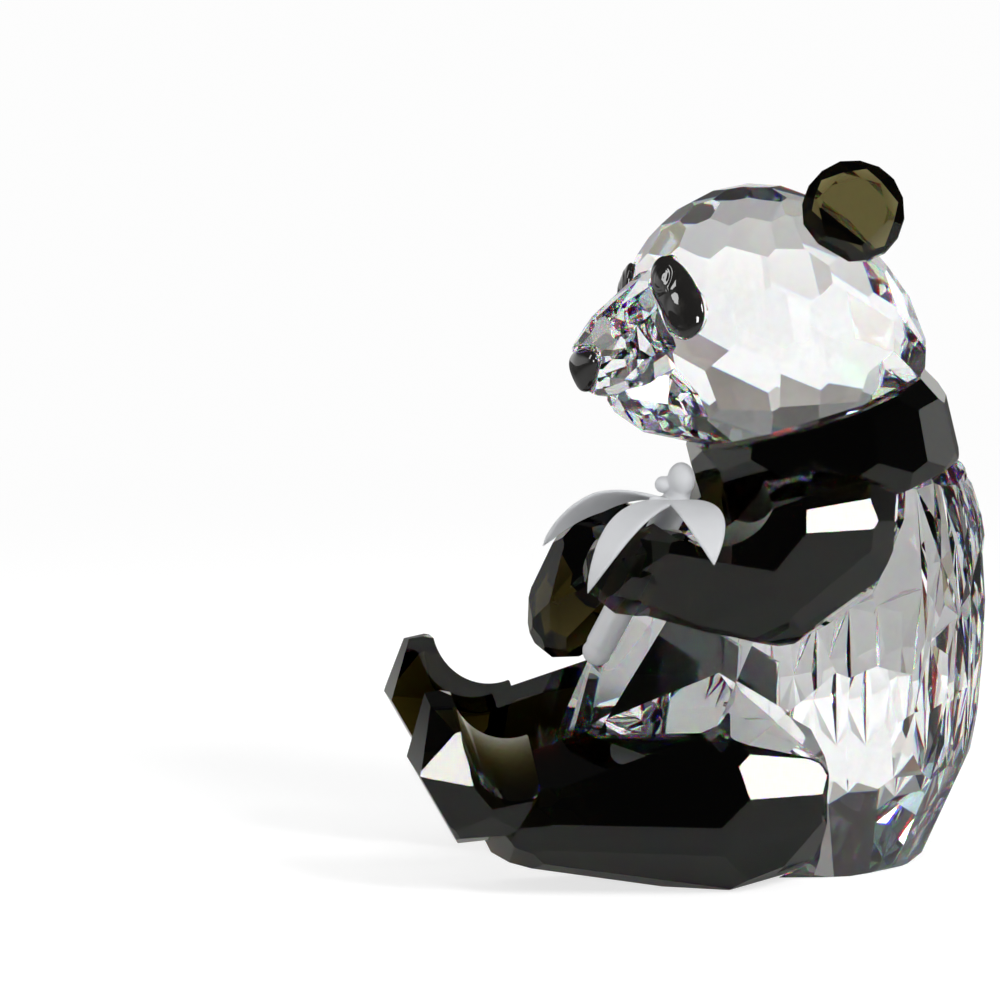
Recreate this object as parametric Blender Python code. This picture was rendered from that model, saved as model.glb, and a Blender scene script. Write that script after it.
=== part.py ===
"""Seated panda figurine, ground from crystal and glued up stone by stone.

The frame is the panda's own: +X is its left, -Y is where its chest faces, +Z is up, and the
base stands on Z = 0. Lengths are metres. Each stone starts as a convex form, the hull of a few
ellipsoids, and flat facets are ground tangent to it by a cutting chart: rows of facets, each a
tilt from the stone's equator and the turns round its axis, in degrees. Turn 0 faces the panda's
left. A chart gives the left half, and the right half is its mirror image.
"""

import math
import random

import bmesh
import bpy
from mathutils import Matrix, Vector

MM = 0.001

# Gaps and blanks
GLUE_LINE = 0.3 * MM
SEAT_SPARE = 1.0 * MM
BLANK_SIZE = 300 * MM
HAND_SWING = 1.2

# Flat ground seats, each a height at Y = 0 and a rise for each metre towards the back
NECK_SEAT_HEIGHT = 60.2 * MM
NECK_SEAT_RISE = 0.32
COLLAR_SEAT_HEIGHT = 47.0 * MM
COLLAR_SEAT_RISE = 0.30
ARM_SEAT_X = 12.0 * MM
LEG_SEAT_X = 8.0 * MM
LEG_REAR_Y = 14.6 * MM

# Head
HEAD_CENTRE = Vector((0, 12.5, 78.5)) * MM
HEAD_TURN = 13.0
HEAD_ROLL = 8.5
SKULL_FRONT = Vector((0, -3.3, 0)) * MM
SKULL_FRONT_RADII = Vector((20.6, 18.2, 18.9)) * MM
SKULL_REAR = Vector((0, 6.0, -6.0)) * MM
SKULL_REAR_RADII = Vector((16.0, 15.5, 12.0)) * MM
MUZZLE_TIP = Vector((0, -27.0, -5.1)) * MM
MUZZLE_TIP_RADII = Vector((5.5, 4.8, 5.0)) * MM
MUZZLE_ROOT = Vector((0, -15.7, -0.8)) * MM
MUZZLE_ROOT_RADII = Vector((9.6, 8.8, 9.2)) * MM
CHIN_TIP = Vector((0, -22.2, -9.8)) * MM
CHIN_TIP_RADII = Vector((4.6, 4.4, 4.1)) * MM
CHIN_ROOT = Vector((0, -12.0, -10.0)) * MM
CHIN_ROOT_RADII = Vector((8.8, 8.2, 7.4)) * MM

# Ears, as points and directions on the panda's left, mirrored for its right
EAR_FROM_SEAT = Vector((3.4, 0.9, 1.9)) * MM
EAR_RADIUS = 7.0 * MM
EAR_THICKNESS = 6.0 * MM
EAR_FACING = Vector((0.87, -0.46, 0.05))
EAR_SEAT_NORMAL = Vector((0.80, 0.15, 0.585))
EAR_SEAT_SINK = 0.3 * MM

# Eye patches and nose
PATCH_LOBE = Vector((10.6, -19.0, 0.4)) * MM
PATCH_LOBE_RADIUS = 3.6 * MM
PATCH_EYE = Vector((6.2, -19.8, 6.2)) * MM
PATCH_EYE_RADIUS = 2.8 * MM
PATCH_THICKNESS = 1.5 * MM
NOSE_TOP_HALF_WIDTH = 2.6 * MM
NOSE_TOP = Vector((0, -30.3, -4.7)) * MM
NOSE_TIP = Vector((0, -30.2, -8.0)) * MM
NOSE_ROUND = 1.4 * MM

# Collar
COLLAR_CENTRE = Vector((0, 19.6, 59.0)) * MM
COLLAR_RADII = Vector((20.0, 18.8, 17.0)) * MM

# Arms, as points on the panda's left
SHOULDER = Vector((16.5, 17.0, 50.5)) * MM
SHOULDER_RADII = Vector((9.0, 8.5, 8.4)) * MM
ELBOW = Vector((18.5, 8.0, 45.0)) * MM
ELBOW_RADII = Vector((8.6, 9.6, 10.2)) * MM
WRIST = Vector((13.0, -6.5, 44.0)) * MM
WRIST_RADII = Vector((6.0, 6.0, 6.0)) * MM
PAW = Vector((10.0, -11.8, 44.0)) * MM
PAW_RADII = Vector((5.2, 5.4, 5.4)) * MM
ARM_WHEEL = Vector((0, -2.0, 58.2)) * MM
ARM_WHEEL_RADIUS = 9.4 * MM
FAR_WRIST = Vector((10.5, -12.9, 41.8)) * MM
FAR_WRIST_RADII = Vector((5.4, 6.0, 6.2)) * MM
FAR_PAW = Vector((8.6, -17.2, 34.0)) * MM
FAR_PAW_RADII = Vector((4.8, 4.8, 5.4)) * MM

# Body
BODY_LOW = Vector((0, 16.2, 26.0)) * MM
BODY_LOW_RADII = Vector((23.5, 25.2, 34.0)) * MM
BODY_HIGH = Vector((0, 20.0, 50.0)) * MM
BODY_HIGH_RADII = Vector((18.0, 21.2, 14.0)) * MM
BELLY = Vector((0, -4.0, 14.5)) * MM
BELLY_RADII = Vector((17.0, 15.2, 15.6)) * MM
BREAST = Vector((0, 6.0, 38.0)) * MM
BREAST_RADII = Vector((13.0, 11.0, 10.0)) * MM

# Legs, as points on the panda's left
THIGH = Vector((14.5, 2.0, 11.4)) * MM
THIGH_RADII = Vector((12.0, 17.0, 11.6)) * MM
SHIN = Vector((14.5, -22.0, 9.6)) * MM
SHIN_RADII = Vector((9.0, 9.0, 7.0)) * MM
FOOT = Vector((14.0, -35.2, 17.0)) * MM
FOOT_RADII = Vector((7.4, 6.8, 9.8)) * MM
SOLE_TILT = 29.0
SOLE_DEPTH = 5.9 * MM
ANKLE_WHEEL = Vector((17.0, -28.0, 25.5)) * MM
ANKLE_WHEEL_RADIUS = 8.6 * MM
ANKLE_WHEEL_DROP = 24.0
HEEL = Vector((14.5, -31.0, 12.6)) * MM
HEEL_RADII = Vector((7.4, 7.0, 5.0)) * MM
FAR_FOOT_LIFT = 5.0 * MM
FAR_KNEE_RISE = 3.4 * MM

# Bamboo sprig
STALK_FOOT = Vector((3.0, -15.2, 29.5)) * MM
STALK_HEAD = Vector((7.0, -3.6, 53.0)) * MM
STALK_RADIUS = 2.2 * MM
BUD_CENTRE = Vector((8.0, -3.0, 56.4)) * MM
BUD_RADIUS = 2.0 * MM
LEAF_WIDTH = 5.6 * MM
LEAF_THICKNESS = 1.1 * MM
LEAVES = (
    (Vector((6.5, -14.5, 53.3)) * MM, Vector((4.0, -22.5, 46.5)) * MM, 35.0),
    (Vector((17.2, -12.6, 51.8)) * MM, Vector((18.3, -18.6, 41.8)) * MM, 0.0),
    (Vector((20.8, -2.8, 53.0)) * MM, Vector((28.0, -2.6, 46.8)) * MM, 0.0),
)

# Cutting charts, rows of (tilt, turns)
SKULL_CHART = (
    (-58, (-84, -44, -4, 36, 76)),
    (-31, (-72, -38, -4, 30, 60, 84)),
    (-6, (-56, -24, 10, 40, 64, 84)),
    (18, (-90, -66, -40, -8, 24, 50, 70, 88)),
    (36, (-80, -56, -31, -6, 20, 44, 66, 86)),
    (51, (-90, -66, -44, -20, 8, 34, 56, 78)),
    (65, (-75, -45, -12, 20, 50, 80)),
    (79, (-60, 0, 60)),
)
MUZZLE_CHART = (
    (82, (-60, 0, 60)),
    (66, (-90, -52, -17, 18, 54, 88)),
    (51, (-72, -42, -12, 18, 48, 76)),
    (36, (-88, -60, -34, -8, 18, 44, 68, 90)),
    (22, (-74, -48, -22, 4, 28, 54, 78)),
    (7, (-88, -60, -34, -9, 16, 40, 64, 86)),
)
CHIN_CHART = (
    (74, (-60, 0, 60)),
    (54, (-90, -52, -15, 24)),
    (34, (-70, -36, -2, 40)),
    (13, (-86, -54, -22, 10)),
)
COLLAR_CHART = (
    (44, (-80, -50, -20, 10, 40, 70)),
    (14, (-90, -62, -34, -6, 22, 48, 72, 90)),
    (-16, (-78, -48, -18, 12, 38, 60, 80)),
)
ARM_CHART = (
    (62, (-60, 0, 60)),
    (43, (12,)),
    (28, (-82,)),
    (26, (-58, -27, 44)),
    (24, (13.6,)),
    (2, (-78,)),
    (-2, (74,)),
    (-6, (42,)),
    (-8, (12,)),
    (-11, (-31,)),
    (-20, (-70,)),
    (-26, (28, 84)),
    (-32, (-22,)),
    (-52, (-58, 0, 60)),
    (-80, (-90, 90)),
)
HAND_CHART = (
    (82, (0, 90)),
    (50, (-90, -30, 30, 90)),
    (24, (-70, -20, 35, 75)),
    (2, (-90, -50, -10, 60)),
    (-24, (-70, -25, 20, 90)),
    (-50, (-90, -30, 40)),
    (-80, (0,)),
)
BODY_CHART = (
    (42, (-90, -60, -30, 0, 24, 48, 72)),
    (26, (-64,)),
    (20, (-90,)),
    (16, (-39,)),
    (13, (3.5, 17, 30, 43.5, 56.5, 70, 83.5)),
    (7, (-14,)),
    (-3, (-90, -66, -5, 10, 23.5, 37, 50, 63.5, 77, 90)),
    (-6, (-42,)),
    (-24, (-76, -50, -22, 2, 24, 46, 68, 90)),
    (-52, (-90, -50, -10, 30, 62)),
)
LEG_CHART = (
    (-52, (-60, 0, 60)),
    (-32, (-40, 75)),
    (-18, (-66,)),
    (-14, (-22,)),
    (-10, (0, 26, 60)),
    (9, (-66, -40, -12, 22, 46)),
    (10, (-88,)),
    (16, (76,)),
    (30, (-60, -8, 52)),
    (34, (24,)),
    (46, (80,)),
    (62, (-60, 20)),
)
FOOT_CHART = (
    (78, (-45, 90)),
    (51, (-39, 20, 90)),
    (31, (-54, 39)),
    (17, (-88, 12, 80)),
    (10, (-24,)),
    (-12, (-27, 14)),
    (-14, (52, 90)),
    (-42, (-60, -10, 50)),
    (-74, (0, 90)),
)

CLEAR = ("clear_crystal", (0.92, 0.93, 0.94), 0.02)
DARK = ("dark_crystal", (0.035, 0.03, 0.018), 0.03)
BLACK = ("black_glass", (0.012, 0.011, 0.010), 0.06)
FROSTED = ("frosted_crystal", (0.80, 0.81, 0.82), 0.45)


def material(finish):
    """Each stone gets a material of its own."""
    name, colour, roughness = finish
    made = bpy.data.materials.new(name)
    made.use_nodes = True
    shader = made.node_tree.nodes["Principled BSDF"]
    shader.inputs["Base Color"].default_value = (*colour, 1.0)
    shader.inputs["Roughness"].default_value = roughness
    shader.inputs["Metallic"].default_value = 0.0
    return made


def new_object(name, bm):
    """Put a closed bmesh into the scene as one object."""
    bmesh.ops.recalc_face_normals(bm, faces=bm.faces)
    mesh = bpy.data.meshes.new(name)
    bm.to_mesh(mesh)
    bm.free()
    made = bpy.data.objects.new(name, mesh)
    bpy.context.collection.objects.link(made)
    return made


def reach(form, direction):
    """How far the hull of some ellipsoids reaches along a direction from the frame's origin."""
    return max(
        centre.dot(direction) + Vector([r * d for r, d in zip(radii, direction)]).length
        for centre, radii in form
    )


def lean(turn, tilt, axis="Z"):
    """A facet normal from its turn round the axis and its tilt, towards the front on axis Y."""
    around, rise = math.radians(turn), math.radians(tilt)
    flat = math.cos(rise)
    normal = Vector((flat * math.cos(around), flat * math.sin(around), math.sin(rise)))
    if axis == "Y":
        normal = Vector((normal.x, -normal.z, normal.y))
    return normal


def half_chart(chart, axis="Z"):
    """The facet normals that a chart lists, for the panda's left."""
    return [lean(turn, tilt, axis) for tilt, turns in chart for turn in turns]


def whole_chart(chart, axis="Z"):
    """A chart's facets with their mirror images, those on the middle plane only once."""
    left = half_chart(chart, axis)
    right = [Vector((-normal.x, normal.y, normal.z)) for normal in left if abs(normal.x) > 1e-4]
    return left + right


def ring(tilt, count, turn=0.0):
    """Facet normals evenly round the Z axis at one tilt."""
    return [lean(turn + 360.0 * k / count, tilt) for k in range(count)]


def by_hand(normals, seed):
    """Facets as a cutter grinds them, each a little off its even place."""
    rng = random.Random(seed)
    swung = []
    for normal in normals:
        nudge = Vector([rng.uniform(-1, 1) for _ in range(3)]) * math.radians(HAND_SWING)
        swung.append((normal + nudge).normalized())
    return swung


def tangent_planes(form, normals, frame=None, grow=0.0):
    """Planes as a point and a normal, touching the form, in the figurine's frame."""
    frame = frame or Matrix.Identity(4)
    turned = frame.to_3x3()
    planes = []
    for normal in normals:
        touch = reach(form, normal) + grow
        planes.append((frame @ (normal * touch), turned @ normal))
    return planes


def seat_plane(height, rise, side, offset=0.0):
    """A plane that climbs towards the back. Stone is kept on its other side from side * up."""
    up = Vector((0, -rise, 1)).normalized()
    return Vector((0, 0, height)) + up * offset, up * side


def grind(name, planes):
    """Cut a block by planes, each of which keeps what is behind it."""
    bm = bmesh.new()
    bmesh.ops.create_cube(bm, size=BLANK_SIZE)
    for point, normal in planes:
        everything = bm.verts[:] + bm.edges[:] + bm.faces[:]
        cut = bmesh.ops.bisect_plane(
            bm, geom=everything, dist=1e-7, plane_co=point, plane_no=normal, clear_outer=True
        )
        rim = [item for item in cut["geom_cut"] if isinstance(item, bmesh.types.BMEdge)]
        if rim:
            bmesh.ops.contextual_create(bm, geom=rim)
    bmesh.ops.dissolve_degenerate(bm, edges=bm.edges, dist=1e-6)
    return new_object(name, bm)


def combine(stone, other, operation):
    """Union with another body, or take it away, and drop that body."""
    modifier = stone.modifiers.new(operation, "BOOLEAN")
    modifier.operation = operation
    modifier.solver = "EXACT"
    modifier.object = other
    bpy.context.view_layer.update()
    depsgraph = bpy.context.evaluated_depsgraph_get()
    mesh = bpy.data.meshes.new_from_object(stone.evaluated_get(depsgraph))
    stone.modifiers.clear()
    stone.data = mesh
    bpy.data.objects.remove(other)


def mirrored(point, side):
    """A point or direction of the panda's left, or its mirror image on the right."""
    return Vector((point.x * side, point.y, point.z))


def mirror_planes(planes, side):
    """Planes of the left, or their mirror images."""
    return [(mirrored(point, side), mirrored(normal, side)) for point, normal in planes]


def pebble(name, balls, grow=0.0, frame=None, rings=8, segments=20):
    """Smooth convex body round some ellipsoids, each a centre, radii and a rotation."""
    frame = frame or Matrix.Identity(4)
    bm = bmesh.new()
    for centre, radii, turned in balls:
        for i in range(rings + 1):
            for k in range(segments):
                rise = math.pi * (i / rings - 0.5)
                angle = math.tau * (k + 0.5 * (i % 2)) / segments
                unit = Vector((
                    math.cos(rise) * math.cos(angle),
                    math.cos(rise) * math.sin(angle),
                    math.sin(rise),
                ))
                point = Vector([(r + grow) * d for r, d in zip(radii, unit)])
                bm.verts.new(frame @ (centre + turned @ point))
    bmesh.ops.remove_doubles(bm, verts=bm.verts, dist=1e-6)
    hull = bmesh.ops.convex_hull(bm, input=bm.verts)
    spare = [item for item in hull["geom_interior"] if isinstance(item, bmesh.types.BMVert)]
    bmesh.ops.delete(bm, geom=spare, context="VERTS")
    return new_object(name, bm)


def head_frame():
    """From the head's own axes to the figurine's."""
    turn = Matrix.Rotation(math.radians(HEAD_TURN), 4, "Z")
    roll = Matrix.Rotation(math.radians(-HEAD_ROLL), 4, "Y")
    return Matrix.Translation(HEAD_CENTRE) @ turn @ roll


def facing(normal):
    """A rotation whose Z axis is the normal and whose Y axis is as upright as it can be."""
    z = normal.normalized()
    x = Vector((0, 0, 1)).cross(z).normalized()
    y = z.cross(x)
    return Matrix((x, y, z)).transposed()


def patch_balls(side):
    """A drop-shaped eye patch: a broad lobe below, and the round of the eye above it."""
    middle = (PATCH_LOBE + PATCH_EYE) / 2
    outward = Vector([c / (r * r) for c, r in zip(middle - SKULL_FRONT, SKULL_FRONT_RADII)])
    turned = facing(mirrored(outward, side))
    thin = PATCH_THICKNESS
    lobe = Vector((PATCH_LOBE_RADIUS, PATCH_LOBE_RADIUS, thin))
    eye = Vector((PATCH_EYE_RADIUS, PATCH_EYE_RADIUS, thin))
    return [(mirrored(PATCH_LOBE, side), lobe, turned), (mirrored(PATCH_EYE, side), eye, turned)]


def nose_balls():
    """A shield: two upper corners and a tip below."""
    turned = Matrix.Identity(3)
    radii = Vector((NOSE_ROUND, NOSE_ROUND, NOSE_ROUND))
    corner = Vector((NOSE_TOP_HALF_WIDTH, 0, 0))
    return [
        (NOSE_TOP + corner, radii, turned),
        (NOSE_TOP - corner, radii, turned),
        (NOSE_TIP, radii, turned),
    ]


def skull_form():
    """The two ellipsoids that the skull is ground from."""
    return [(SKULL_FRONT, SKULL_FRONT_RADII), (SKULL_REAR, SKULL_REAR_RADII)]


def ear_seat(side):
    """Middle and normal of the flat that an ear is glued to, in the head's own axes."""
    normal = mirrored(EAR_SEAT_NORMAL, side).normalized()
    return normal * (reach(skull_form(), normal) - EAR_SEAT_SINK), normal


def make_head():
    """Skull, muzzle and chin as one clear stone, with seats for what is glued to it."""
    frame = head_frame()
    planes = tangent_planes(skull_form(), by_hand(whole_chart(SKULL_CHART), 3), frame)
    for side in (1, -1):
        middle, normal = ear_seat(side)
        planes.append((frame @ middle, frame.to_3x3() @ normal))
    head = grind("head", planes)

    backward = ring(-50, 6)
    backward = [Vector((normal.x, -normal.z, normal.y)) for normal in backward]
    muzzle = [(MUZZLE_TIP, MUZZLE_TIP_RADII), (MUZZLE_ROOT, MUZZLE_ROOT_RADII)]
    normals = by_hand(whole_chart(MUZZLE_CHART, "Y"), 5) + backward
    combine(head, grind("muzzle", tangent_planes(muzzle, normals, frame)), "UNION")
    chin = [(CHIN_TIP, CHIN_TIP_RADII), (CHIN_ROOT, CHIN_ROOT_RADII)]
    normals = by_hand(whole_chart(CHIN_CHART, "Y"), 7) + backward
    combine(head, grind("chin", tangent_planes(chin, normals, frame)), "UNION")

    point, up = seat_plane(NECK_SEAT_HEIGHT, NECK_SEAT_RISE, 1, GLUE_LINE / 2)
    combine(head, grind("neck_cut", [(point, up)]), "DIFFERENCE")
    for side in (1, -1):
        combine(head, pebble("pocket", patch_balls(side), GLUE_LINE, frame), "DIFFERENCE")
    combine(head, pebble("pocket", nose_balls(), GLUE_LINE, frame), "DIFFERENCE")
    head.data.materials.append(material(CLEAR))


def make_face():
    """Eye patches and nose, each in its pocket."""
    frame = head_frame()
    for name, side in (("eye_patch_left", 1), ("eye_patch_right", -1)):
        pebble(name, patch_balls(side), 0.0, frame).data.materials.append(material(BLACK))
    pebble("nose", nose_balls(), 0.0, frame).data.materials.append(material(BLACK))


def make_ear(name, side):
    """Faceted disc, cut off along the chord that is glued to the head."""
    frame = head_frame()
    seat, normal_out = ear_seat(side)
    centre = seat + mirrored(EAR_FROM_SEAT, side)
    turned = facing(mirrored(EAR_FACING, side))
    half = EAR_THICKNESS / 2
    planes = [((0, 0, half), (0, 0, 1)), ((0, 0, -half), (0, 0, -1))]
    for tilt, count, turn in ((0, 16, 0), (52, 6, 10), (-52, 6, 40)):
        for normal in ring(tilt, count, turn):
            rim = half * 0.35 if tilt else 0.0
            corner = Vector((normal.x, normal.y, 0)).normalized() * EAR_RADIUS
            corner.z = rim if tilt > 0 else -rim
            planes.append((normal * corner.dot(normal), normal))
    placed = []
    for point, normal in planes:
        there = centre + turned @ Vector(point)
        placed.append((frame @ there, frame.to_3x3() @ (turned @ Vector(normal))))
    glued = frame @ (seat + normal_out * GLUE_LINE)
    placed.append((glued, frame.to_3x3() @ -normal_out))
    grind(name, placed).data.materials.append(material(DARK))


def arm_stones(side, grow=0.0):
    """The convex stones whose union is one arm: shoulder to wrist, and paw. The right paw hangs."""
    wrist, paw = (WRIST, WRIST_RADII), (PAW, PAW_RADII)
    if side < 0:
        wrist, paw = (FAR_WRIST, FAR_WRIST_RADII), (FAR_PAW, FAR_PAW_RADII)
    arm = [(SHOULDER, SHOULDER_RADII), (ELBOW, ELBOW_RADII), wrist]
    inner = (Vector((ARM_SEAT_X - grow, 0, 0)), Vector((-1, 0, 0)))
    under_head = seat_plane(NECK_SEAT_HEIGHT, NECK_SEAT_RISE, 1, grow - GLUE_LINE)
    arm_planes = tangent_planes(arm, by_hand(half_chart(ARM_CHART), 11), None, grow)
    arm_planes += [inner, under_head]
    hand_planes = tangent_planes([wrist, paw], by_hand(whole_chart(HAND_CHART), 17), None, grow)
    return [mirror_planes(planes, side) for planes in (arm_planes, hand_planes)]


def collar_planes(grow=0.0):
    """The slanted slab between head and body."""
    form = [(COLLAR_CENTRE, COLLAR_RADII)]
    planes = tangent_planes(form, by_hand(whole_chart(COLLAR_CHART), 19), None, grow)
    planes.append(seat_plane(NECK_SEAT_HEIGHT, NECK_SEAT_RISE, 1, grow - GLUE_LINE / 2))
    planes.append(seat_plane(COLLAR_SEAT_HEIGHT, COLLAR_SEAT_RISE, -1, GLUE_LINE / 2 - grow))
    return planes


def shoulder_stone(name, grow=0.0):
    """Collar and both arms joined, swollen by grow on every facet."""
    stone = grind(name, collar_planes(grow))
    wheel_ends = (Vector((-2 * SHOULDER.x, 0, 0)), Vector((2 * SHOULDER.x, 0, 0)))
    for side in (1, -1):
        arm_planes, hand_planes = arm_stones(side, grow)
        arm = grind("arm", arm_planes)
        foot, head = [ARM_WHEEL + end for end in wheel_ends]
        combine(arm, rod("arm_wheel", foot, head, ARM_WHEEL_RADIUS - grow, 48), "DIFFERENCE")
        combine(arm, grind("hand", hand_planes), "UNION")
        combine(stone, arm, "UNION")
    return stone


def leg_planes(side, grow=0.0):
    """Thigh with shin, and foot: the convex stones whose union is one leg."""
    lift = Vector((0, 0, FAR_FOOT_LIFT)) if side < 0 else Vector((0, 0, 0))
    rise = Vector((0, 0, FAR_KNEE_RISE)) if side < 0 else Vector((0, 0, 0))
    thigh = [(THIGH + rise, THIGH_RADII + rise), (SHIN + rise, SHIN_RADII + rise)]
    foot = [(FOOT + lift, FOOT_RADII), (HEEL + lift, HEEL_RADII)]
    inner = (Vector((LEG_SEAT_X - SEAT_SPARE - grow, 0, 0)), Vector((-1, 0, 0)))
    foot_inner = (Vector((LEG_SEAT_X - SEAT_SPARE / 2 - grow, 0, 0)), Vector((-1, 0, 0)))
    rear = (Vector((0, LEG_REAR_Y + grow, 0)), Vector((0, 1, 0)))
    ground = (Vector((0, 0, -grow)), Vector((0, 0, -1)))
    normals = by_hand(half_chart(LEG_CHART, "Y"), 23)
    planes = tangent_planes(thigh, normals, None, grow) + [inner, rear, ground]
    lean_down = math.radians(SOLE_TILT)
    sole = Vector((0, -math.cos(lean_down), -math.sin(lean_down)))
    foot_planes = tangent_planes(foot, by_hand(half_chart(FOOT_CHART), 29), None, grow)
    foot_planes += [(foot[0][0] + sole * (SOLE_DEPTH + grow), sole), foot_inner]
    return [mirror_planes(planes, side), mirror_planes(foot_planes, side)]


def leg_stone(name, side, grow=0.0):
    """One leg, swollen by grow on every facet."""
    thigh, foot = leg_planes(side, grow)
    stone = grind(name, thigh)
    combine(stone, grind("foot", foot), "UNION")
    seat = (Vector(((LEG_SEAT_X - grow) * side, 0, 0)), Vector((side, 0, 0)))
    combine(stone, grind("seat_cut", [seat]), "DIFFERENCE")
    return stone


def make_leg(name, side):
    """A leg with the smooth hollow that a wheel has ground across its ankle."""
    leg = leg_stone(name, side)
    lift = Vector((0, 0, FAR_FOOT_LIFT)) if side < 0 else Vector((0, 0, 0))
    along = mirrored(lean(0, -ANKLE_WHEEL_DROP), side) * THIGH_RADII.x * 2
    centre = mirrored(ANKLE_WHEEL + lift, side)
    wheel = rod("ankle_wheel", centre - along, centre + along, ANKLE_WHEEL_RADIUS, 56)
    combine(leg, wheel, "DIFFERENCE")
    leg.data.materials.append(material(DARK))


def make_body():
    """Clear stone between the collar and the ground, hollowed where limbs are glued on."""
    form = [
        (BODY_LOW, BODY_LOW_RADII), (BODY_HIGH, BODY_HIGH_RADII),
        (BELLY, BELLY_RADII), (BREAST, BREAST_RADII),
    ]
    planes = tangent_planes(form, by_hand(whole_chart(BODY_CHART), 31))
    planes.append((Vector((0, 0, 0)), Vector((0, 0, -1))))
    planes.append(seat_plane(COLLAR_SEAT_HEIGHT, COLLAR_SEAT_RISE, 1, -GLUE_LINE / 2))
    body = grind("body", planes)
    for side in (1, -1):
        combine(body, leg_stone("leg_pocket", side, GLUE_LINE), "DIFFERENCE")
    combine(body, shoulder_stone("shoulder_pocket", GLUE_LINE), "DIFFERENCE")
    combine(body, stalk_bore(), "DIFFERENCE")
    body.data.materials.append(material(CLEAR))


def rod(name, foot, head, radius, segments=14):
    """A straight round rod between two points."""
    bm = bmesh.new()
    along = head - foot
    turned = along.to_track_quat("Z", "Y").to_matrix().to_4x4()
    place = Matrix.Translation((foot + head) / 2) @ turned
    bmesh.ops.create_cone(
        bm, cap_ends=True, segments=segments, radius1=radius, radius2=radius,
        depth=along.length, matrix=place,
    )
    return new_object(name, bm)


def leaf(name, root, middle, tip, roll, stations=12):
    """A curved leaf, lens-shaped across, widest near its middle and rolled about its length."""
    handle = middle * 2 - (root + tip) / 2
    side = (tip - root).cross(Vector((0, 0, 1))).normalized()
    bm = bmesh.new()
    rows = []
    for i in range(stations + 1):
        t = i / stations
        point = root * (1 - t) ** 2 + handle * 2 * t * (1 - t) + tip * t ** 2
        along = ((handle - root) * (1 - t) + (tip - handle) * t).normalized()
        turned = Matrix.Rotation(math.radians(roll) * min(1.0, 2 * t), 3, along)
        across = turned @ (side - along * side.dot(along)).normalized()
        up = across.cross(along)
        half = LEAF_WIDTH / 2 * (0.3 + 0.7 * math.sin(math.pi * t ** 0.8)) * (1 - t ** 6)
        half = max(half, LEAF_THICKNESS / 4)
        thick = min(LEAF_THICKNESS / 2, half * 0.6)
        section = ((-1, 0), (-0.5, 1), (0.5, 1), (1, 0), (0.5, -1), (-0.5, -1))
        rows.append([bm.verts.new(point + across * (half * a) + up * (thick * b)) for a, b in section])
    for low, high in zip(rows, rows[1:]):
        for k in range(len(section)):
            after = (k + 1) % len(section)
            bm.faces.new((low[k], low[after], high[after], high[k]))
    bm.faces.new(rows[0])
    bm.faces.new(rows[-1])
    return new_object(name, bm)


def stalk_bore():
    """The groove that lets the stalk pass between paws and belly."""
    spare = (STALK_HEAD - STALK_FOOT).normalized() * GLUE_LINE
    return rod("stalk_bore", STALK_FOOT - spare, STALK_HEAD + spare, STALK_RADIUS + GLUE_LINE)


def make_sprig():
    """Stalk, bud and leaves as one frosted stone."""
    sprig = rod("bamboo_sprig", STALK_FOOT, STALK_HEAD, STALK_RADIUS)
    round_bud = Vector((BUD_RADIUS, BUD_RADIUS, BUD_RADIUS * 1.3))
    bud = [(BUD_CENTRE, round_bud, Matrix.Identity(3)), (STALK_HEAD, round_bud, Matrix.Identity(3))]
    combine(sprig, pebble("bud", bud, rings=6, segments=12), "UNION")
    for middle, tip, roll in LEAVES:
        combine(sprig, leaf("leaf", STALK_HEAD, middle, tip, roll), "UNION")
    sprig.data.materials.append(material(FROSTED))


def centre_on_base():
    """Move everything so that the box round the figurine stands centred on the origin."""
    corners = [o.matrix_world @ v.co for o in bpy.data.objects for v in o.data.vertices]
    low = Vector([min(c[k] for c in corners) for k in range(3)])
    high = Vector([max(c[k] for c in corners) for k in range(3)])
    shift = Vector((-(low.x + high.x) / 2, -(low.y + high.y) / 2, -low.z))
    for item in bpy.data.objects:
        item.data.transform(Matrix.Translation(shift))


def main():
    for old in list(bpy.data.objects):
        bpy.data.objects.remove(old)
    make_head()
    make_face()
    make_ear("ear_left", 1)
    make_ear("ear_right", -1)
    shoulders = shoulder_stone("shoulders_and_arms")
    combine(shoulders, stalk_bore(), "DIFFERENCE")
    shoulders.data.materials.append(material(DARK))
    make_body()
    make_leg("leg_left", 1)
    make_leg("leg_right", -1)
    make_sprig()
    centre_on_base()


main()
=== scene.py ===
"""Looks of the seated crystal panda: polished stones, black glass face, frosted sprig, and the studio.

Lengths are metres in the figurine's own frame: +X is its left, -Y is where its chest faces, +Z is up.
"""

import math

import bmesh
import bpy
import numpy as np
from mathutils import Matrix, Vector
from mathutils.bvhtree import BVHTree


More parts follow.
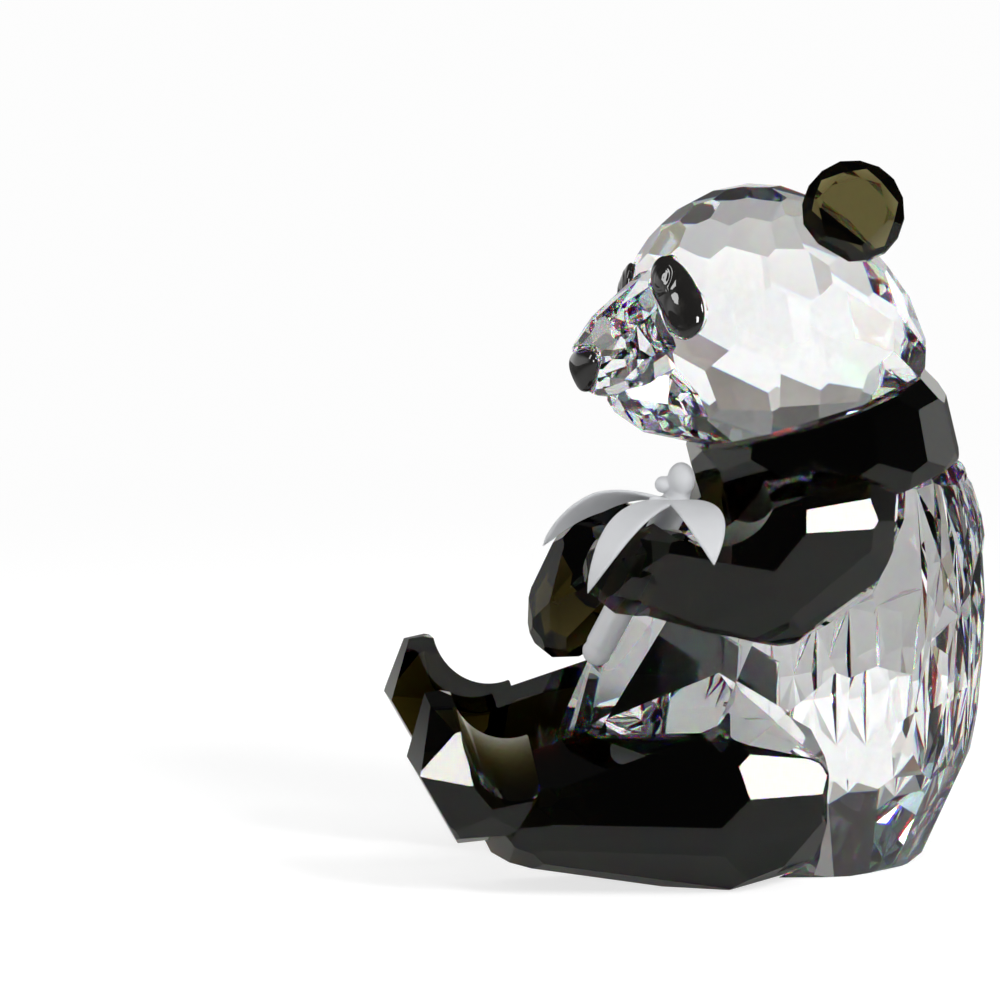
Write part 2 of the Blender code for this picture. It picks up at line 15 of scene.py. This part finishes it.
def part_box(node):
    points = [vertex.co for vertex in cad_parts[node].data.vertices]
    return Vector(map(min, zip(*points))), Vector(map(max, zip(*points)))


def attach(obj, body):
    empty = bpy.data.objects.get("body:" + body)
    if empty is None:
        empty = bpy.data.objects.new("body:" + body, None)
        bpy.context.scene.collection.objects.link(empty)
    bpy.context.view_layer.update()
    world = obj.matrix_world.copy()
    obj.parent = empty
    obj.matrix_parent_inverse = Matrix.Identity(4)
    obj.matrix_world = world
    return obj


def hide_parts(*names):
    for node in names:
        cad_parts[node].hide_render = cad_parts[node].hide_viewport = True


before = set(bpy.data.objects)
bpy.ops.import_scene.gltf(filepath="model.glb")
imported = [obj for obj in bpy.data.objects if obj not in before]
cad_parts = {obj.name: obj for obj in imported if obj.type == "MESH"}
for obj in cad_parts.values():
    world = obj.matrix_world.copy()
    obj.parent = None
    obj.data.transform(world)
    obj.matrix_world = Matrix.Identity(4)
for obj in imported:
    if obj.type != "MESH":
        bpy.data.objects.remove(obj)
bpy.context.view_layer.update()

MM = 0.001

# Stones
CLEAR_STONES = ("head", "body")
DARK_STONES = ("shoulders_and_arms", "leg_left", "leg_right", "ear_left", "ear_right")
MERGE = 0.002 * MM
FLAT_WITHIN = math.radians(0.4)
HOLLOW_STEP = math.radians(8.5)

# Small pointed cuts: how far each round of them rises, and which facets take them
CUT_STONE = "body"
CUT_RISES = (1.1 * MM, 0.4 * MM)
FAR_CUTS_FROM_Y = 6.0 * MM
BACK_CUTS_FROM_Y = 24.0 * MM
CUT_SLOPES = (-0.35, 0.9)
CUT_CLEARANCE = 1.2 * MM

# Glass
CLEAR_IORS = {"head": 1.54, "body": 1.66}
CLEAR_TINT = (0.985, 0.99, 0.99)
DARK_IOR = 1.53
DARK_TINT = (0.97, 0.97, 0.93)
DUSTED = 0.965
FIRE = 0.02
FIRE_SHARE = 0.3
SMOKE_PER_METRE = 520.0
SMOKE_TINT = (0.36, 0.31, 0.02)

# Face pieces: taper towards the top, squareness, where the relief stands as shares of the half length, and
# how deep it is
PATCH_TAPER = 0.11
PATCH_SQUARE = 0.85
NOSE_TAPER = -0.42
NOSE_SQUARE = 0.9
EYE_AT = 0.47
LOBE_AT = -0.38
EYE_RISE = 0.12 * MM
EYE_RING_DEPTH = 0.07 * MM
PUPIL_RISE = 0.08 * MM
LOBE_DEPTH = 0.08 * MM
INSET_RISE = 0.10 * MM
NOSE_RIDGE = 0.18 * MM
DROP_GRID = (121, 144)

# Where the CAD solids stand: the left leg's inner seat and rear face in the maker's own axes
LEG_SEAT_X = 8.0 * MM
LEG_REAR_Y = 14.6 * MM

# Sprig, in the maker's own axes
STALK_FOOT = np.array((3.0, -15.2, 29.5)) * MM
STALK_HEAD = np.array((7.0, -3.6, 53.0)) * MM
STALK_RADIUS = 2.15 * MM
STALK_RING_AT = 2.6 * MM
STALK_RING_WIDTH = 0.35 * MM
STALK_RING_DEPTH = 0.09
STALK_ROWS = 80
BUD_CENTRE = np.array((8.0, -3.0, 56.4)) * MM
BUD_RADIUS = 1.97 * MM
SIDE_BUD = np.array((-0.5, -2.5, -0.7)) * MM
SIDE_BUD_RADIUS = 1.2 * MM
LEAF_WIDTH = 6.3 * MM
LEAF_THICKNESS = 1.1 * MM
LEAF_GRID = (90, 64)
BALL_ROWS = 40
ROUND_STEPS = 48
SPRIG_VOXEL = 0.16 * MM
SOFTENING = 4
LEAVES = (
    (np.array((6.5, -14.5, 53.3)) * MM, np.array((4.0, -22.5, 46.5)) * MM, 35.0),
    (np.array((17.2, -12.6, 51.8)) * MM, np.array((18.3, -18.6, 41.8)) * MM, 0.0),
    (np.array((20.8, -2.8, 53.0)) * MM, np.array((28.0, -2.6, 46.8)) * MM, 0.0),
)

# Camera: it looks at the frame's middle, and the figurine sits to the right of it
CAMERA_AZIMUTH = math.radians(78.0)
CAMERA_ELEVATION = math.radians(8.0)
CAMERA_DISTANCE = 546.6 * MM
CAMERA_TARGET = Vector((0, 0, 50.0 * MM))
FOCAL_PIXELS = 3796.0
TARGET_PIXEL = (690.0, 516.0)
FRAME_PIXELS = 1000.0
SENSOR = 36.0
CLIP_NEAR = 0.01
CLIP_FAR = 20.0
BOUNCES = 24
GLOSSY_BOUNCES = 12

# Brightness of the studio: the card behind, and the room above and before it
BACKDROP = 0.98
SWEEP = 1.0
ROOM_BEHIND = 0.25
ROOM_BEFORE = 0.95
SWEEP_MIRRORED = 0.85
ROOM_MIRRORED = 0.03

# Where these begin and end: the azimuth of the front, then cosines from it and sines of the elevation
FRONT = -12
SWEEP_SIDES = (0.35, -0.2)
SWEEP_TOP = (0.34, 0.16)
ROOM_SIDES = (-0.2, 0.4)

# Dim panels that show through the stones, except straight behind them
PANEL_SHIFT = (7.7, 4.2, 9.1)
PANEL_SCALE = 3.1
PANEL_EDGE = (0.44, 0.56)
DIM_PANEL = 0.12
STRAIGHT = (-0.86, -0.95)

# Lights: azimuth, elevation and half sizes in degrees, then radiance
LIGHT_DISTANCE = 0.8
SOFTBOXES = (
    ("key", 42, 37, 10, 9, 24.0),
    ("front", -39, 8, 8, 8, 20.0),
    ("left_strip", -95, 32, 5, 16, 8.0),
)
PINS = (
    (100, 40), (-150, 34), (-60, 62), (170, 22), (130, 10),
    (60, 70), (-170, 55), (-110, 15), (20, 55), (150, 75),
)
PIN_HALF = 1.6
PIN_RADIANCE = 14.0
FILL_HALF = 38
FILL_RADIANCE = 0.55
FILL_DISTANCE = 0.9

# Floor: from near the figurine to far from it, its own tone and its painted glow as seen plainly and through
# stones
FLOOR_REACH = 2.5
FLOOR_DROP = 0.1 * MM
FLOOR_FADE = (0.1, 0.5)
FLOOR_CARD = (0.4, 0.0)
# Near the figurine the floor's glow is painted darker, seen plainly and through stones: a painted contact
# shadow
FLOOR_GLOW_WITH_PAINTED_SHADOW = (0.7, 0.98)
THROUGH_SHADOW_FADE = (0.08, 0.26)
THROUGH_GLOW_WITH_PAINTED_SHADOW = (0.1, 0.95)
# The floor's painted glow where the stones mirror it, painted dim
MIRRORED_FLOOR_GLOW = 0.1


class Value:
    """A socket in a shader tree. Arithmetic on it adds Math nodes."""

    def __init__(self, tree, socket):
        self.tree = tree
        self.socket = socket

    def maths(self, operation, *others):
        node = self.tree.nodes.new("ShaderNodeMath")
        node.operation = operation
        for socket, item in zip(node.inputs, (self, *others)):
            plug(self.tree, socket, item)
        return Value(self.tree, node.outputs[0])

    def __add__(self, other):
        return self.maths("ADD", other)

    def __mul__(self, other):
        return self.maths("MULTIPLY", other)

    def __sub__(self, other):
        return self.maths("SUBTRACT", other)

    def __rsub__(self, other):
        return (self * -1.0) + other

    __radd__ = __add__
    __rmul__ = __mul__

    def rise(self, low, high):
        """0 below low, 1 above high, and a smooth step between. low may be the greater."""
        node = self.tree.nodes.new("ShaderNodeMapRange")
        node.interpolation_type = "SMOOTHSTEP"
        ends = (low, high, 0.0, 1.0) if low < high else (high, low, 1.0, 0.0)
        for name, number in zip(("From Min", "From Max", "To Min", "To Max"), ends):
            node.inputs[name].default_value = number
        plug(self.tree, node.inputs["Value"], self)
        return Value(self.tree, node.outputs["Result"])


def plug(tree, socket, item):
    """Give a socket a number or colour, or link it."""
    if isinstance(item, Value):
        tree.links.new(item.socket, socket)
    elif item is not None:
        socket.default_value = item


class Finish:
    """The node tree of one material or of the world, emptied and ready to write."""

    def __init__(self, owner):
        owner.use_nodes = True
        self.owner = owner
        self.tree = owner.node_tree
        self.tree.nodes.clear()

    def add(self, kind, settings=None, sockets=None, out=0):
        """Any node by its type, its settings first, then the values or links of its sockets."""
        node = self.tree.nodes.new("ShaderNode" + kind)
        for name, setting in (settings or {}).items():
            setattr(node, name, setting)
        for name, item in (sockets or {}).items():
            plug(self.tree, node.inputs[name], item)
        return Value(self.tree, node.outputs[out])

    def place(self):
        return self.add("TexCoord", out="Object")

    def noise(self, scale, detail=2.0, where=None):
        sockets = {"Vector": where or self.place(), "Scale": scale, "Detail": detail}
        return self.add("TexNoise", None, sockets, "Fac")

    def bump(self, height, distance, strength=1.0):
        sockets = {"Height": height, "Distance": distance, "Strength": strength}
        return self.add("Bump", None, sockets)

    def mix(self, share, low, high):
        """Colour between two colours."""
        node = self.tree.nodes.new("ShaderNodeMix")
        node.data_type = "RGBA"
        for name, item in (("Factor_Float", share), ("A_Color", low), ("B_Color", high)):
            plug(self.tree, next(s for s in node.inputs if s.identifier == name), item)
        return Value(self.tree, next(s for s in node.outputs if s.identifier == "Result_Color"))

    def close(self, surface, volume=None):
        out = self.tree.nodes.new("ShaderNodeOutput" + ("World" if self.world() else "Material"))
        self.tree.links.new(surface.socket, out.inputs["Surface"])
        if volume:
            self.tree.links.new(volume.socket, out.inputs["Volume"])
        return self.owner

    def world(self):
        return isinstance(self.owner, bpy.types.World)


def crystal(name, ior, tint, smoke=None):
    """Cut crystal. A share of the light is bent a little differently for red, green and blue: coloured fire.

    Polish varies faintly over a facet, and the lap leaves each facet a trace of waviness.
    """
    look = Finish(bpy.data.materials.new(name))
    polish = look.noise(90.0, 3.0).rise(0.55, 0.8) * 0.01
    wave = look.bump(look.noise(260.0, 1.0), 0.00002, 0.2)
    dust = look.noise(700.0, 4.0).rise(0.4, 0.9)
    beams = []
    for share, band in ((1.0 - FIRE_SHARE, None), (FIRE_SHARE, 0), (FIRE_SHARE, 1), (FIRE_SHARE, 2)):
        full = [share * part if band in (None, k) else 0.0 for k, part in enumerate(tint)]
        faint = [part * DUSTED for part in full]
        sockets = {
            "Color": look.mix(dust, (*full, 1.0), (*faint, 1.0)),
            "Roughness": polish,
            "IOR": ior if band is None else ior + (band - 1) * FIRE,
            "Normal": wave,
        }
        beams.append(look.add("BsdfGlass", {"distribution": "GGX"}, sockets))
    white = beams[0]
    for beam in beams[1:]:
        both = look.add("AddShader")
        for socket, item in zip(both.socket.node.inputs, (white, beam)):
            plug(look.tree, socket, item)
        white = both
    volume = None
    if smoke:
        volume = look.add("VolumeAbsorption", None, {"Color": (*smoke, 1.0), "Density": SMOKE_PER_METRE})
    return look.close(white, volume)


def black_glass():
    """Moulded black glass: glossy, with faint flow lines and the odd duller fingerprint."""
    look = Finish(bpy.data.materials.new("black_glass"))
    smear = look.noise(420.0, 3.0).rise(0.5, 0.75)
    flow = look.noise(900.0, 2.0)
    sockets = {
        "Base Color": look.mix(smear, (0.010, 0.0095, 0.009, 1.0), (0.020, 0.019, 0.017, 1.0)),
        "Roughness": smear * 0.05 + 0.02,
        "IOR": 1.6,
        "Normal": look.bump(flow, 0.00001, 0.3),
    }
    return look.close(look.add("BsdfPrincipled", None, sockets))


def frosted_crystal():
    """Acid-etched crystal: satin, fine-grained, light passes but is scattered."""
    look = Finish(bpy.data.materials.new("frosted_crystal"))
    grain = look.noise(5200.0, 2.0)
    cloud = look.noise(240.0, 3.0)
    sockets = {
        "Base Color": look.mix(cloud, (0.80, 0.81, 0.83, 1.0), (0.70, 0.71, 0.73, 1.0)),
        "Roughness": cloud * 0.12 + 0.42,
        "IOR": 1.5,
        "Transmission Weight": 0.45,
        "Normal": look.bump(grain, 0.00004, 0.5),
    }
    return look.close(look.add("BsdfPrincipled", None, sockets))


def small_cuts(bm):
    """Pointed cuts over the back and its right side, which also show through the stone: each free facet there
    rises to its middle as a low pyramid, and each face of the pyramid rises once more. Facets near other
    stones and those that lean under the body stay flat.
    """
    others = []
    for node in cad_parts:
        if node != CUT_STONE:
            other = bmesh.new()
            other.from_mesh(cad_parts[node].data)
            others.append(BVHTree.FromBMesh(other))
            other.free()
    least, most = CUT_SLOPES
    for rise in CUT_RISES:
        chosen = []
        for face in bm.faces:
            middle = face.calc_center_median()
            spots = [middle] + [(middle + corner.co) / 2 for corner in face.verts]
            free = not any(tree.find_nearest(spot, CUT_CLEARANCE)[0] for tree in others for spot in spots)
            placed = middle.y > (FAR_CUTS_FROM_Y if middle.x < 0 else BACK_CUTS_FROM_Y)
            if free and placed and least < face.normal.z < most:
                chosen.append(face)
        bmesh.ops.poke(bm, faces=chosen, offset=rise)
        bm.normal_update()


def stone(node, finish):
    """A polished copy of a CAD stone: triangles merged into flat facets, with small cuts on one stone and the
    ground hollows of the others shaded smooth.
    """
    bm = bmesh.new()
    bm.from_mesh(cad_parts[node].data)
    bmesh.ops.remove_doubles(bm, verts=bm.verts, dist=MERGE)
    bmesh.ops.dissolve_limit(bm, angle_limit=FLAT_WITHIN, verts=bm.verts, edges=bm.edges)
    if node == CUT_STONE:
        small_cuts(bm)
    for face in bm.faces:
        face.smooth = node != CUT_STONE
    for edge in bm.edges:
        edge.smooth = len(edge.link_faces) == 2 and edge.calc_face_angle(0.0) < HOLLOW_STEP
    mesh = bpy.data.meshes.new("cut_" + node)
    bm.to_mesh(mesh)
    bm.free()
    return piece("cut_" + node, mesh, finish, node)


def piece(name, mesh, finish, node):
    """Put a mesh into the scene in a CAD node's place."""
    made = bpy.data.objects.new(name, mesh)
    bpy.context.scene.collection.objects.link(made)
    mesh.materials.clear()
    mesh.materials.append(finish)
    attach(made, "root")
    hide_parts(node)
    return made


def grid_faces(rows, columns):
    """Quads of a grid whose columns close on themselves, rows from one end to the other."""
    row, column = np.meshgrid(np.arange(rows - 1), np.arange(columns), indexing="ij")
    after = (column + 1) % columns
    start, above = row * columns, (row + 1) * columns
    return np.stack((start + column, start + after, above + after, above + column), -1).reshape(-1, 4)


def surface(name, points):
    """A mesh from a grid of points: closed round its columns, its end rows merged or filled."""
    rows, columns = points.shape[:2]
    mesh = bpy.data.meshes.new(name)
    mesh.from_pydata(points.reshape(-1, 3).tolist(), [], grid_faces(rows, columns).tolist())
    bm = bmesh.new()
    bm.from_mesh(mesh)
    bmesh.ops.remove_doubles(bm, verts=bm.verts, dist=MERGE / 2)
    bmesh.ops.holes_fill(bm, edges=bm.edges, sides=0)
    bmesh.ops.recalc_face_normals(bm, faces=bm.faces)
    for face in bm.faces:
        face.smooth = True
    bm.to_mesh(mesh)
    bm.free()
    return mesh


def own_axes(node):
    """Centre, unit axes (longest first) and half lengths of a CAD node along its own principal axes."""
    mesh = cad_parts[node].data
    flat = np.zeros(len(mesh.vertices) * 3)
    mesh.vertices.foreach_get("co", flat)
    points = np.unique(np.round(flat.reshape(-1, 3), 6), axis=0)
    axes = np.linalg.svd(points - points.mean(0), full_matrices=False)[2]
    places = points @ axes.T
    centre = (places.min(0) + places.max(0)) / 2 @ axes
    return centre, axes, (places.max(0) - places.min(0)) / 2


def signed_power(x, power):
    """|x|^power with the sign of x."""
    return np.sign(x) * np.abs(x) ** power


def drop(node, along, outward, taper, square, relief):
    """A domed drop. At height v from -1 to 1 and angle u, with r = sqrt(1 - v^2), it lies at

    along * L sin(u) r + across * W (1 - taper sin(u)) |cos(u)|^square r + out * T v,

    with the sign of cos(u), and relief(a, b) then lifts the front half at a across and b along.
    """
    centre, axes, half = own_axes(node)
    long = axes[along] * np.sign(axes[along][2])
    thin = axes[2] * np.sign(axes[2] @ outward)
    wide = np.cross(long, thin)
    length, width, thick = half[along], half[1 - along], half[2]
    rows, columns = DROP_GRID
    v = np.linspace(-1, 1, rows)[:, None]
    u = np.linspace(0, math.tau, columns, endpoint=False)[None, :]
    ring = np.sqrt(1 - v ** 2)
    b = length * np.sin(u) * ring
    a = width * (1 - taper * np.sin(u)) * signed_power(np.cos(u), square) * ring
    lift = np.where(v > 0, relief(a, b, length, width) * np.minimum(1, v * 3), 0)
    h = thick * v + lift
    points = centre + a[..., None] * wide + b[..., None] * long + h[..., None] * thin
    return surface("drop_" + node, points)


def step(x, low, high):
    """Smooth step from 0 at low to 1 at high, either way round."""
    t = np.clip((x - low) / (high - low), 0, 1)
    return t * t * (3 - 2 * t)


def eye_relief(a, b, length, width):
    """The round of the eye stands proud near the upper end, with a ring cut in it and a pupil in the middle.

    Below it the lobe is dished, with a raised oval inside the dish.
    """
    far = np.hypot(a, b - length * EYE_AT)
    disc = step(far, width * 0.74, width * 0.58) * EYE_RISE
    ring_cut = np.exp(-((far - width * 0.45) / (width * 0.09)) ** 2) * EYE_RING_DEPTH
    pupil = step(far, width * 0.28, width * 0.08) * PUPIL_RISE
    oval = np.hypot(a / (width * 0.62), (b - length * LOBE_AT) / (length * 0.42))
    dish = step(oval, 1.2, 0.8) * LOBE_DEPTH
    inset = step(oval, 0.8, 0.2) * INSET_RISE
    return disc - ring_cut + pupil - dish + inset


def nose_relief(a, b, length, width):
    """A soft ridge down the middle of the nose."""
    return np.exp(-(a / (width * 0.4)) ** 2) * NOSE_RIDGE


def bezier(root, middle, tip, t):
    """Quadratic curve through middle at its half way, and its direction."""
    handle = middle * 2 - (root + tip) / 2
    point = root * (1 - t) ** 2 + handle * 2 * t * (1 - t) + tip * t ** 2
    along = (handle - root) * (1 - t) + (tip - handle) * t
    return point, along / np.linalg.norm(along, axis=-1, keepdims=True)


def leaf(name, root, middle, tip, roll):
    """A curved leaf. Along t its half width is w(t) = W/2 (0.3 + 0.7 sin(pi t^0.8)) (1 - t^9). Across, at
    angle u, it lies at w |cos(u)|^0.7 sideways, with the sign of cos(u), and at
    sin(u) (T/2) (0.55 + 0.55 cos(u)^2) up: thick rolled rims and a shallow channel between them.
    """
    rows, columns = LEAF_GRID
    t = np.linspace(0, 1, rows)[:, None, None]
    u = np.linspace(0, math.tau, columns, endpoint=False)[None, :, None]
    point, along = bezier(root, middle, tip, t)
    side = np.cross(tip - root, (0, 0, 1))
    side = side / np.linalg.norm(side)
    side = side - along * (along @ side)[..., None]
    side = side / np.linalg.norm(side, axis=-1, keepdims=True)
    up = np.cross(side, along)
    turn = np.radians(roll) * np.minimum(1, 2 * t)
    across = side * np.cos(turn) - up * np.sin(turn)
    up = np.cross(across, along)
    half = LEAF_WIDTH / 2 * (0.3 + 0.7 * np.sin(math.pi * t ** 0.8)) * (1 - t ** 9)
    half = np.maximum(half, LEAF_THICKNESS * 0.02)
    thick = np.minimum(LEAF_THICKNESS / 2, half * 0.7)
    round_rim = signed_power(np.cos(u), 0.7)
    height = np.sin(u) * (0.5 + 0.5 * np.cos(u) ** 2) * 1.1
    return surface(name, point + across * (half * round_rim) + up * (thick * height))


def turned(name, foot, head, profile):
    """A body turned round a straight axis: profile gives rows of (distance from foot, radius)."""
    along = (head - foot) / np.linalg.norm(head - foot)
    side = np.cross(along, (1.0, 0, 0))
    side = side / np.linalg.norm(side)
    u = np.linspace(0, math.tau, ROUND_STEPS, endpoint=False)[None, :, None]
    reach, radius = np.array(profile).T[:, :, None, None]
    ring = side * np.cos(u) + np.cross(along, side) * np.sin(u)
    return surface(name, foot + along * reach + ring * radius)


def ball(name, centre, radii):
    """An ellipsoid of latitude v and longitude u."""
    v = np.linspace(-math.pi / 2, math.pi / 2, BALL_ROWS)[:, None]
    u = np.linspace(0, math.tau, ROUND_STEPS, endpoint=False)[None, :]
    unit = np.stack((np.cos(v) * np.cos(u), np.cos(v) * np.sin(u), np.sin(v) + 0 * u), -1)
    return surface(name, centre + unit * radii)


def stalk_profile(length):
    """A round end, one ring cut above it, then straight to the head of the stalk."""
    reach = length * np.linspace(0, 1, STALK_ROWS)
    end = np.sqrt(np.clip(1 - (1 - reach / STALK_RADIUS).clip(0, 1) ** 2, 0, 1))
    groove = np.exp(-((reach - STALK_RING_AT) / STALK_RING_WIDTH) ** 2) * STALK_RING_DEPTH
    return np.stack((reach, STALK_RADIUS * np.maximum(end, 0.01) * (1 - groove)), 1)


def sprig(finish):
    """Stalk, bud and leaves, melted into one frosted stone by a fine remesh."""
    low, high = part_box("leg_left")
    moved = np.array((low.x - LEG_SEAT_X, high.y - LEG_REAR_Y, 0.0))
    foot, head, bud = STALK_FOOT + moved, STALK_HEAD + moved, BUD_CENTRE + moved
    length = np.linalg.norm(head - foot)
    parts = [
        turned("stalk", foot, head, stalk_profile(length)),
        ball("hub", head, np.array((1.0, 1.0, 1.3)) * BUD_RADIUS),
        ball("neck", (head + bud) / 2, np.array((0.9, 0.9, 1.3)) * BUD_RADIUS),
        ball("bud", bud, np.array((1.0, 1.0, 1.25)) * BUD_RADIUS),
        ball("side_bud", bud + SIDE_BUD, np.full(3, SIDE_BUD_RADIUS)),
    ]
    for middle, tip, roll in LEAVES:
        parts.append(leaf("leaf", head, middle + moved, tip + moved, roll))
    bm = bmesh.new()
    for mesh in parts:
        bm.from_mesh(mesh)
    joined = bpy.data.meshes.new("frosted_sprig")
    bm.to_mesh(joined)
    bm.free()
    made = bpy.data.objects.new("melt", joined)
    bpy.context.scene.collection.objects.link(made)
    melt = made.modifiers.new("melt", "REMESH")
    melt.mode = "VOXEL"
    melt.voxel_size = SPRIG_VOXEL
    melt.use_smooth_shade = True
    soft = made.modifiers.new("soft", "SMOOTH")
    soft.iterations = SOFTENING
    soft.factor = 0.5
    bpy.context.view_layer.update()
    melted = made.evaluated_get(bpy.context.evaluated_depsgraph_get())
    mesh = bpy.data.meshes.new_from_object(melted)
    bpy.data.objects.remove(made)
    return piece("frosted_sprig", mesh, finish, "bamboo_sprig")


def toward(azimuth, elevation):
    """Unit vector at an azimuth from +X and an elevation, in degrees."""
    a, e = math.radians(azimuth), math.radians(elevation)
    return Vector((math.cos(a) * math.cos(e), math.sin(a) * math.cos(e), math.sin(e)))


def softbox(name, azimuth, elevation, half_width, half_height, radiance, distance=LIGHT_DISTANCE):
    """A flat light seen from the figurine at a direction, its half sizes in degrees."""
    width = 2 * distance * math.tan(math.radians(half_width))
    height = 2 * distance * math.tan(math.radians(half_height))
    light = bpy.data.lights.new(name, "AREA")
    light.shape = "RECTANGLE"
    light.size = width
    light.size_y = height
    light.energy = radiance * math.pi * width * height
    made = bpy.data.objects.new(name, light)
    bpy.context.scene.collection.objects.link(made)
    there = toward(azimuth, elevation)
    made.location = CAMERA_TARGET + there * distance
    made.rotation_euler = there.to_track_quat("Z", "Y").to_euler()
    return made


def grey(tone):
    return (tone, tone, tone, 1.0)


def studio():
    """White sweep behind, a room above and before it, softboxes that the facets mirror, pins that sparkle
    through the stones, and a pale floor whose glow is painted light, painted darker round the figurine as a
    shadow.
    """
    world = bpy.data.worlds.new("studio")
    bpy.context.scene.world = world
    look = Finish(world)
    ray = look.add("TexCoord", out="Generated")
    height = look.add("SeparateXYZ", None, {"Vector": ray}, "Z")
    front = look.add("VectorMath", {"operation": "DOT_PRODUCT"}, {0: ray, 1: toward(FRONT, 0)}, "Value")
    outer = look.add("LightPath", out="Is Reflection Ray")
    seen = look.add("LightPath", out="Is Camera Ray")
    sweep = front.rise(*SWEEP_SIDES) * height.rise(*SWEEP_TOP)
    shifted = look.add("VectorMath", {"operation": "ADD"}, {0: ray, 1: PANEL_SHIFT})
    flags = look.noise(PANEL_SCALE, 1.0, shifted).rise(*PANEL_EDGE)
    straight = front.rise(*STRAIGHT)
    panels = (flags * (1.0 - DIM_PANEL) + DIM_PANEL) * (1.0 - straight) + straight
    room = front.rise(*ROOM_SIDES) * (ROOM_BEFORE - ROOM_BEHIND) + ROOM_BEHIND
    bright = (room + sweep * (SWEEP - room)) * panels
    mirrored = sweep * SWEEP_MIRRORED + ROOM_MIRRORED
    light = bright + outer * (mirrored - bright)
    pale = light + seen * (BACKDROP - light)
    look.close(look.add("Background", None, {"Color": (1, 1, 1, 1), "Strength": pale}))

    for settings in SOFTBOXES:
        softbox(*settings).visible_transmission = False
    for number, (azimuth, elevation) in enumerate(PINS):
        pin = softbox("pin_%d" % number, azimuth, elevation, PIN_HALF, PIN_HALF, PIN_RADIANCE)
        pin.visible_glossy = False

    fill = softbox("fill", 90, 89, FILL_HALF, FILL_HALF, FILL_RADIANCE, FILL_DISTANCE)
    fill.visible_glossy = False
    fill.visible_transmission = False

    r = FLOOR_REACH
    corners = [(x, y, -FLOOR_DROP) for x, y in ((-r, -r), (r, -r), (r, r), (-r, r))]
    floor = bpy.data.meshes.new("floor")
    floor.from_pydata(corners, [], [(0, 1, 2, 3)])
    plane = bpy.data.objects.new("floor", floor)
    bpy.context.scene.collection.objects.link(plane)
    card = Finish(bpy.data.materials.new("pale_floor_painted_glow_and_shadow"))
    distance = card.add("VectorMath", {"operation": "LENGTH"}, {0: card.place()}, "Value")
    away = distance.rise(*FLOOR_FADE)
    mirrored = card.add("LightPath", out="Is Reflection Ray")
    seen = card.add("LightPath", out="Is Camera Ray")
    # The floor glows though it is no lamp: painted light. Near the figurine its glow is painted darker, a
    # painted shadow, and where the stones mirror it the glow is painted dim.
    near = card.mix(away, *map(grey, FLOOR_GLOW_WITH_PAINTED_SHADOW))
    within = card.mix(distance.rise(*THROUGH_SHADOW_FADE), *map(grey, THROUGH_GLOW_WITH_PAINTED_SHADOW))
    sockets = {
        "Base Color": card.mix(away, *map(grey, FLOOR_CARD)),
        "Roughness": 0.7,
        "Specular IOR Level": 0.0,
        "Emission Color": card.mix(mirrored, card.mix(seen, within, near), grey(MIRRORED_FLOOR_GLOW)),
        "Emission Strength": 1.0,
    }
    floor.materials.append(card.close(card.add("BsdfPrincipled", None, sockets)))


def camera():
    """The photograph's view. The lens is turned a little, so the figurine stands off centre."""
    a, e = CAMERA_AZIMUTH, CAMERA_ELEVATION
    back = Vector((math.sin(a) * math.cos(e), -math.cos(a) * math.cos(e), math.sin(e)))
    right = Vector((math.cos(a), math.sin(a), 0))
    up = back.cross(right)
    aside, above = FRAME_PIXELS / 2 - TARGET_PIXEL[0], TARGET_PIXEL[1] - FRAME_PIXELS / 2
    axis = (back * FOCAL_PIXELS - right * aside - up * above).normalized()
    level = (right - axis * right.dot(axis)).normalized()
    data = bpy.data.cameras.new("camera")
    data.sensor_width = SENSOR
    data.lens = FOCAL_PIXELS / FRAME_PIXELS * SENSOR
    data.clip_start = CLIP_NEAR
    data.clip_end = CLIP_FAR
    made = bpy.data.objects.new("camera", data)
    bpy.context.scene.collection.objects.link(made)
    facing = Matrix((level, axis.cross(level), axis)).transposed().to_4x4()
    made.matrix_world = Matrix.Translation(CAMERA_TARGET + back * CAMERA_DISTANCE) @ facing
    bpy.context.scene.camera = made


def main():
    dark = crystal("dark_crystal", DARK_IOR, DARK_TINT, SMOKE_TINT)
    black = black_glass()
    frosted = frosted_crystal()
    for node in CLEAR_STONES:
        stone(node, crystal("clear_crystal_" + node, CLEAR_IORS[node], CLEAR_TINT))
    for node in DARK_STONES:
        stone(node, dark)
    low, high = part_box("head")
    head_middle = np.array((low + high) / 2)
    for node in ("eye_patch_left", "eye_patch_right"):
        outward = own_axes(node)[0] - head_middle
        patch = drop(node, 0, outward, PATCH_TAPER, PATCH_SQUARE, eye_relief)
        piece("glossy_" + node, patch, black, node)
    outward = own_axes("nose")[0] - head_middle
    nose = drop("nose", 1, outward, NOSE_TAPER, NOSE_SQUARE, nose_relief)
    piece("glossy_nose", nose, black, "nose")
    sprig(frosted)
    studio()
    camera()
    view = bpy.context.scene.view_settings
    view.view_transform = "Standard"
    view.look = "None"
    rays = bpy.context.scene.cycles
    rays.use_denoising = True
    rays.max_bounces = BOUNCES
    rays.transmission_bounces = BOUNCES
    rays.glossy_bounces = GLOSSY_BOUNCES


main()
